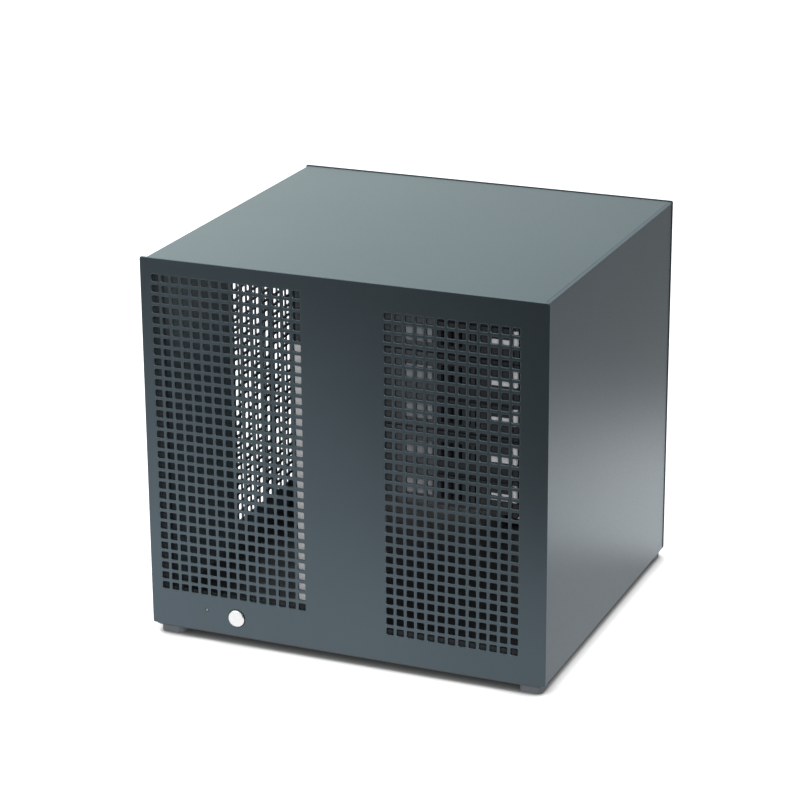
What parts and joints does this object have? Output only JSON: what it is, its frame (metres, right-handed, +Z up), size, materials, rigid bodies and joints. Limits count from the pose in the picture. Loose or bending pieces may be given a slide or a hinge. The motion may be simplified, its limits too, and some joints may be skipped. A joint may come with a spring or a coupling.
{
  "type": "nas server chassis",
  "caption": "Near-cubic sheet-metal network storage chassis with a perforated pull-off front plate, stacked hot-swap drive trays, an upright board bay and a rear power supply bay.",
  "frame": {"origin": "middle of the object's box in X and Y, on the surface its feet stand on", "axes": "+X to the right seen from the front, -Y towards the front plate, +Z up"},
  "size_m": [0.314, 0.2906, 0.295],
  "materials": {
    "body_paint": "satin powder coat, slate grey",
    "inner_paint": "satin powder coat, near black",
    "bare_steel": "plain bright steel sheet",
    "magnet_plate": "nickel plated",
    "foot_rubber": "matt grey rubber",
    "dark_plastic": "matt black moulding",
    "button_metal": "fine satin aluminium",
    "light_pipe": "clear moulding",
    "screw_steel": "dark zinc",
    "brass_posts": "turned brass",
    "board_laminate": "green circuit laminate",
    "tray_plastic": "matt dark moulding",
    "release_plastic": "light grey moulding"
  },
  "bodies": {
    "chassis": {"outer_cover": "body_paint", "rear_panel": "inner_paint", "floor_pan": "inner_paint", "front_frame": "inner_paint", "middle_wall": "inner_paint", "cage_wall": "inner_paint", "cage_top": "inner_paint", "cage_shelf": "inner_paint", "tray_guides": "bare_steel", "harness_cover": "bare_steel", "slot_covers": "inner_paint", "magnet_posts": "bare_steel", "feet": "foot_rubber", "button_collar": "dark_plastic", "status_led": "light_pipe", "cover_screws": "screw_steel", "board_standoffs": "brass_posts", "backplane": "board_laminate", "drive_connectors": "dark_plastic", "fan_frame": "dark_plastic"},
    "front_plate": {"front_panel": "body_paint", "panel_magnets": "magnet_plate"},
    "button": {"power_button": "button_metal"},
    "fan": {"fan_rotor": "dark_plastic"},
    "tray_1": {"drive_tray_1": "tray_plastic"},
    "lever_1": {"tray_lever_1": "tray_plastic", "tray_strap_1": "bare_steel"},
    "release_1": {"tray_release_1": "release_plastic"},
    "tray_2": {"drive_tray_2": "tray_plastic"},
    "lever_2": {"tray_lever_2": "tray_plastic", "tray_strap_2": "bare_steel"},
    "release_2": {"tray_release_2": "release_plastic"},
    "tray_3": {"drive_tray_3": "tray_plastic"},
    "lever_3": {"tray_lever_3": "tray_plastic", "tray_strap_3": "bare_steel"},
    "release_3": {"tray_release_3": "release_plastic"},
    "tray_4": {"drive_tray_4": "tray_plastic"},
    "lever_4": {"tray_lever_4": "tray_plastic", "tray_strap_4": "bare_steel"},
    "release_4": {"tray_release_4": "release_plastic"},
    "tray_5": {"drive_tray_5": "tray_plastic"},
    "lever_5": {"tray_lever_5": "tray_plastic", "tray_strap_5": "bare_steel"},
    "release_5": {"tray_release_5": "release_plastic"}
  },
  "joints": [
    {"name": "front_panel_pull", "type": "slide", "parent": "chassis", "child": "front_plate", "axis": [0, -1, 0], "range_m": [0, 0.31]},
    {"name": "power_button_press", "type": "slide", "parent": "chassis", "child": "button", "axis": [0, 1, 0], "range_m": [0, 0.0015], "stiffness_N_per_m": 300},
    {"name": "fan_spin", "type": "hinge", "parent": "chassis", "child": "fan", "pos_m": [0.0817, 0.1275, 0.204], "axis": [0, 1, 0], "continuous": true},
    {"name": "tray_1_slide", "type": "slide", "parent": "chassis", "child": "tray_1", "axis": [0, -1, 0], "range_m": [0, 0.155]},
    {"name": "tray_1_lever", "type": "hinge", "parent": "tray_1", "child": "lever_1", "pos_m": [0.13, -0.1364, 0.26025], "axis": [0, 0, 1], "range_deg": [0, 60]},
    {"name": "tray_1_release", "type": "slide", "parent": "tray_1", "child": "release_1", "axis": [0, 1, 0], "range_m": [0, 0.0015], "stiffness_N_per_m": 400},
    {"name": "tray_2_slide", "type": "slide", "parent": "chassis", "child": "tray_2", "axis": [0, -1, 0], "range_m": [0, 0.155]},
    {"name": "tray_2_lever", "type": "hinge", "parent": "tray_2", "child": "lever_2", "pos_m": [0.13, -0.1364, 0.23175], "axis": [0, 0, 1], "range_deg": [0, 60]},
    {"name": "tray_2_release", "type": "slide", "parent": "tray_2", "child": "release_2", "axis": [0, 1, 0], "range_m": [0, 0.0015], "stiffness_N_per_m": 400},
    {"name": "tray_3_slide", "type": "slide", "parent": "chassis", "child": "tray_3", "axis": [0, -1, 0], "range_m": [0, 0.155]},
    {"name": "tray_3_lever", "type": "hinge", "parent": "tray_3", "child": "lever_3", "pos_m": [0.13, -0.1364, 0.20325], "axis": [0, 0, 1], "range_deg": [0, 60]},
    {"name": "tray_3_release", "type": "slide", "parent": "tray_3", "child": "release_3", "axis": [0, 1, 0], "range_m": [0, 0.0015], "stiffness_N_per_m": 400},
    {"name": "tray_4_slide", "type": "slide", "parent": "chassis", "child": "tray_4", "axis": [0, -1, 0], "range_m": [0, 0.155]},
    {"name": "tray_4_lever", "type": "hinge", "parent": "tray_4", "child": "lever_4", "pos_m": [0.13, -0.1364, 0.17475], "axis": [0, 0, 1], "range_deg": [0, 60]},
    {"name": "tray_4_release", "type": "slide", "parent": "tray_4", "child": "release_4", "axis": [0, 1, 0], "range_m": [0, 0.0015], "stiffness_N_per_m": 400},
    {"name": "tray_5_slide", "type": "slide", "parent": "chassis", "child": "tray_5", "axis": [0, -1, 0], "range_m": [0, 0.155]},
    {"name": "tray_5_lever", "type": "hinge", "parent": "tray_5", "child": "lever_5", "pos_m": [0.13, -0.1364, 0.14625], "axis": [0, 0, 1], "range_deg": [0, 60]},
    {"name": "tray_5_release", "type": "slide", "parent": "tray_5", "child": "release_5", "axis": [0, 1, 0], "range_m": [0, 0.0015], "stiffness_N_per_m": 400}
  ],
  "couplings": [
    {"joint": "tray_1_slide", "follows": "front_panel_pull", "ratio": 0.5},
    {"joint": "tray_1_lever", "follows": "front_panel_pull", "rad_per_m": 3.37},
    {"joint": "tray_2_slide", "follows": "front_panel_pull", "ratio": 0.5},
    {"joint": "tray_2_lever", "follows": "front_panel_pull", "rad_per_m": 3.37},
    {"joint": "tray_3_slide", "follows": "front_panel_pull", "ratio": 0.5},
    {"joint": "tray_3_lever", "follows": "front_panel_pull", "rad_per_m": 3.37},
    {"joint": "tray_4_slide", "follows": "front_panel_pull", "ratio": 0.5},
    {"joint": "tray_4_lever", "follows": "front_panel_pull", "rad_per_m": 3.37},
    {"joint": "tray_5_slide", "follows": "front_panel_pull", "ratio": 0.5},
    {"joint": "tray_5_lever", "follows": "front_panel_pull", "rad_per_m": 3.37}
  ]
}
